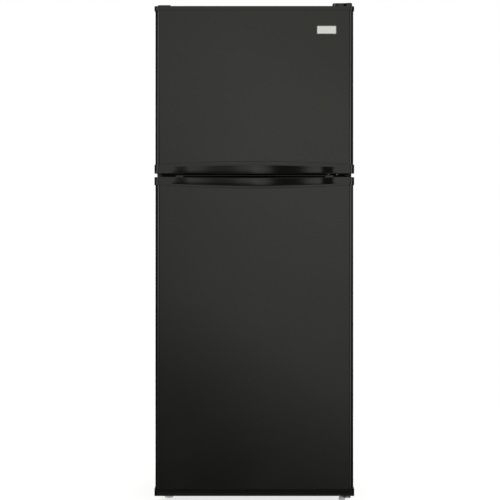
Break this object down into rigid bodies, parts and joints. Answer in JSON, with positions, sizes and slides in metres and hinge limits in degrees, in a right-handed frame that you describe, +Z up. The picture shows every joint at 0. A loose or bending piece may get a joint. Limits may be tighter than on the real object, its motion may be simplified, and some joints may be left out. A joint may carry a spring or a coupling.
{
  "type": "top freezer refrigerator",
  "caption": "Apartment-size refrigerator with a freezer compartment on top, right-hinged doors with end caps and bowed horizontal grips at the split.",
  "frame": {"origin": "on the floor under the middle of the whole object", "axes": "+Z up; -Y out of the doors, towards the user; +X towards the hinge side, the user's right"},
  "size_m": [0.6024, 0.6656, 1.506],
  "materials": {
    "black_paint": "satin",
    "black_gloss": "gloss",
    "black_plastic": "matte",
    "white_plastic": "satin",
    "grey_plastic": "matte",
    "clear_plastic": "gloss",
    "glass": "gloss",
    "foam": "matte",
    "zinc": "satin",
    "aluminium": "satin",
    "rubber": "matte",
    "compressor": "satin"
  },
  "bodies": {
    "cabinet": {"air_duct": "white_plastic", "back_panel": "zinc", "base_frame": "black_plastic", "bottom_hinge": "zinc", "cabinet_shell": "black_paint", "compressor": "compressor", "control_box": "white_plastic", "cord_gland": "black_plastic", "crisper_cover_frame": "white_plastic", "crisper_cover_glass": "glass", "discharge_tube": "zinc", "divider_rail": "black_paint", "evaporation_tray": "black_plastic", "evaporator": "aluminium", "evaporator_cover": "white_plastic", "fan_motor": "grey_plastic", "freezer_liner": "white_plastic", "freezer_shelf": "glass", "fridge_liner": "white_plastic", "insulation_foam": "foam", "lamp_cover": "clear_plastic", "lower_shelf_frame": "white_plastic", "lower_shelf_glass": "glass", "middle_hinge": "black_paint", "rear_cover": "black_paint", "top_hinge": "zinc", "top_hinge_cover": "black_plastic", "upper_shelf_frame": "white_plastic", "upper_shelf_glass": "glass"},
    "freezer_door": {"freezer_door_skin": "black_paint", "freezer_door_foam": "foam", "freezer_door_liner": "white_plastic", "freezer_door_gasket": "rubber", "freezer_top_cap": "black_plastic", "freezer_bottom_cap": "black_plastic", "freezer_handle": "black_gloss", "freezer_bin_upper": "clear_plastic", "freezer_bin_lower": "clear_plastic", "badge_plate": "aluminium", "hinge_hole_plug": "black_plastic"},
    "fridge_door": {"fridge_door_skin": "black_paint", "fridge_door_foam": "foam", "fridge_door_liner": "white_plastic", "fridge_door_gasket": "rubber", "fridge_top_cap": "black_plastic", "fridge_bottom_cap": "black_plastic", "fridge_handle": "black_gloss", "dairy_bin": "clear_plastic", "middle_bin": "clear_plastic", "gallon_bin": "clear_plastic"},
    "dairy_lid": {"dairy_lid": "clear_plastic"},
    "crisper_drawer": {"crisper_drawer": "clear_plastic"},
    "door_switch": {"door_switch_plunger": "white_plastic"},
    "temperature_knob": {"temperature_knob": "grey_plastic"},
    "air_slider": {"freezer_air_slider": "grey_plastic"},
    "fan": {"fan_blade": "grey_plastic"},
    "rear_roller_left": {"rear_roller_left": "grey_plastic"},
    "rear_roller_right": {"rear_roller_right": "grey_plastic"},
    "foot_left": {"foot_left": "grey_plastic"},
    "foot_right": {"foot_right": "grey_plastic"}
  },
  "joints": [
    {"name": "freezer_door_hinge", "type": "hinge", "parent": "cabinet", "child": "freezer_door", "pos_m": [0.2815, -0.28, 0.992], "axis": [0, 0, 1], "range_deg": [0, 120]},
    {"name": "fridge_door_hinge", "type": "hinge", "parent": "cabinet", "child": "fridge_door", "pos_m": [0.2815, -0.28, 0.02], "axis": [0, 0, 1], "range_deg": [0, 120]},
    {"name": "crisper_slide", "type": "slide", "parent": "cabinet", "child": "crisper_drawer", "axis": [0, -1, 0], "range_m": [0, 0.201]},
    {"name": "door_switch_travel", "type": "slide", "parent": "cabinet", "child": "door_switch", "axis": [0, -1, 0], "range_m": [0, 0.0051]},
    {"name": "dairy_lid_hinge", "type": "hinge", "parent": "fridge_door", "child": "dairy_lid", "pos_m": [0, -0.15, 0.9035], "axis": [1, 0, 0], "range_deg": [0, 80]},
    {"name": "temperature_knob_turn", "type": "hinge", "parent": "cabinet", "child": "temperature_knob", "pos_m": [-0.045, -0.195, 0.9355], "axis": [0, 1, 0], "range_deg": [-135, 135]},
    {"name": "air_slider_travel", "type": "slide", "parent": "cabinet", "child": "air_slider", "axis": [1, 0, 0], "range_m": [-0.02, 0.02]},
    {"name": "fan_spin", "type": "hinge", "parent": "cabinet", "child": "fan", "pos_m": [0, 0.195, 1.355], "axis": [0, 1, 0], "continuous": true},
    {"name": "rear_roller_left_spin", "type": "hinge", "parent": "cabinet", "child": "rear_roller_left", "pos_m": [-0.255, 0.288, 0.015], "axis": [1, 0, 0], "continuous": true},
    {"name": "rear_roller_right_spin", "type": "hinge", "parent": "cabinet", "child": "rear_roller_right", "pos_m": [0.255, 0.288, 0.015], "axis": [1, 0, 0], "continuous": true},
    {"name": "foot_left_turn", "type": "hinge", "parent": "cabinet", "child": "foot_left", "pos_m": [-0.262, -0.205, 0], "axis": [0, 0, 1], "continuous": true},
    {"name": "foot_right_turn", "type": "hinge", "parent": "cabinet", "child": "foot_right", "pos_m": [0.2665, -0.2505, 0], "axis": [0, 0, 1], "continuous": true}
  ],
  "couplings": [
    {"joint": "crisper_slide", "follows": "fridge_door_hinge", "m_per_rad": 0.0955},
    {"joint": "door_switch_travel", "follows": "fridge_door_hinge", "m_per_rad": 0.0024}
  ]
}
